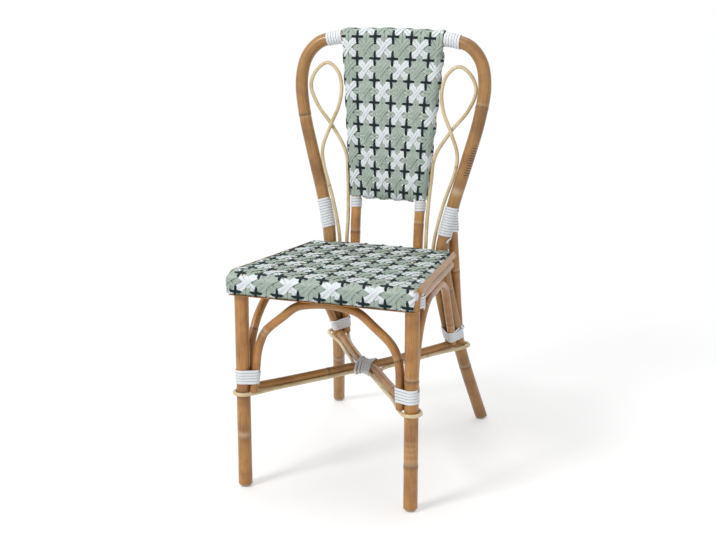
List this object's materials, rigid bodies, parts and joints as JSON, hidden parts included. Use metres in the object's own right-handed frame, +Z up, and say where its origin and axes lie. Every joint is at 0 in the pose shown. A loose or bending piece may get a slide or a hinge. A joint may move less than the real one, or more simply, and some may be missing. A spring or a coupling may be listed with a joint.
{
  "type": "bistro chair",
  "caption": "Rattan bistro chair with a bent pole hoop back, woven seat and back panel, looped canes, arched braces and crossed stretchers.",
  "frame": {"origin": "centre of the chair's footprint box, on the floor", "axes": "+Z up, -Y to the front where the sitter's legs are, +X to the chair's left as a sitter sits"},
  "size_m": [0.4512, 0.597, 0.9282],
  "materials": {
    "rattan": "satin lacquer",
    "light_cane": "satin",
    "seat_weave": "matt woven strand",
    "back_weave": "matt woven strand",
    "binding": "matt flat strand",
    "glide": "matt",
    "nail": "brushed"
  },
  "bodies": {
    "root": {"back_hoop": "rattan", "panel_rail": "rattan", "bearer_front": "rattan", "arch_front": "rattan", "arch_rear": "rattan", "stretcher_front": "rattan", "stretcher_rear": "rattan", "cane_ring": "light_cane", "seat_rail_front_upper": "rattan", "seat_rail_front_lower": "rattan", "seat_rail_rear": "rattan", "post_left": "rattan", "leg_left": "rattan", "upright_left": "rattan", "seat_rail_left": "rattan", "bearer_left": "rattan", "arch_left": "rattan", "loop_left": "light_cane", "trim_left": "light_cane", "post_right": "rattan", "leg_right": "rattan", "upright_right": "rattan", "seat_rail_right": "rattan", "bearer_right": "rattan", "arch_right": "rattan", "loop_right": "light_cane", "trim_right": "light_cane", "trim_front": "light_cane", "seat_weave": "seat_weave", "back_weave": "back_weave", "binding_front_left": "binding", "binding_rear_left": "binding", "binding_upper_left": "binding", "binding_top_left": "binding", "binding_panel_left": "binding", "binding_corner_left": "binding", "binding_front_right": "binding", "binding_rear_right": "binding", "binding_upper_right": "binding", "binding_top_right": "binding", "binding_panel_right": "binding", "binding_corner_right": "binding", "binding_centre": "binding", "glide_front_left": "glide", "glide_nail_front_left": "nail", "glide_rear_left": "glide", "glide_nail_rear_left": "nail", "glide_front_right": "glide", "glide_nail_front_right": "nail", "glide_rear_right": "glide", "glide_nail_rear_right": "nail", "frame_nail_pole_left": "nail", "frame_nail_upright_left": "nail", "frame_nail_pole_right": "nail", "frame_nail_upright_right": "nail"}
  },
  "joints": []
}
